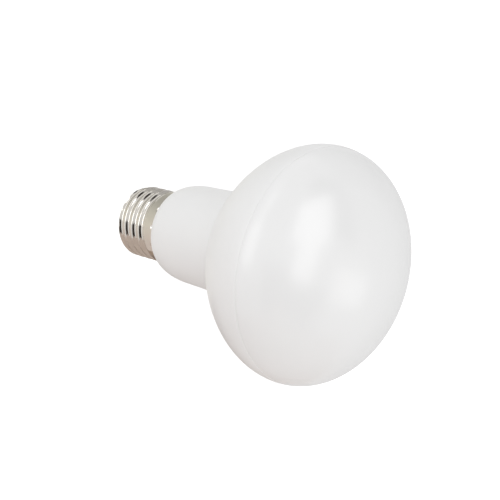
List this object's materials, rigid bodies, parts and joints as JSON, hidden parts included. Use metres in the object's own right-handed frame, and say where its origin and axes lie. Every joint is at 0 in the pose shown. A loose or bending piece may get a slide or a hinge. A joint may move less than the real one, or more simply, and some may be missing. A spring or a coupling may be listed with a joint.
{
  "type": "reflector bulb",
  "caption": "White mushroom-shaped LED reflector bulb with a polished E27 screw cap, straight neck and opal dome.",
  "frame": {"origin": "middle of the flat tip of the centre contact, on the bulb's axis", "axes": "+Z along the bulb's axis, from the screw cap towards the dome; X and Y across it"},
  "size_m": [0.08, 0.08, 0.1145],
  "materials": {
    "nickel": "polished nickel plate",
    "insulator": "moulded black plastic",
    "white_plastic": "moulded white plastic, satin",
    "opal": "opal diffuser plastic, smooth"
  },
  "bodies": {
    "root": {"screw_shell": "nickel", "insulator": "insulator", "centre_contact": "nickel", "housing": "white_plastic", "diffuser": "opal"}
  },
  "joints": []
}
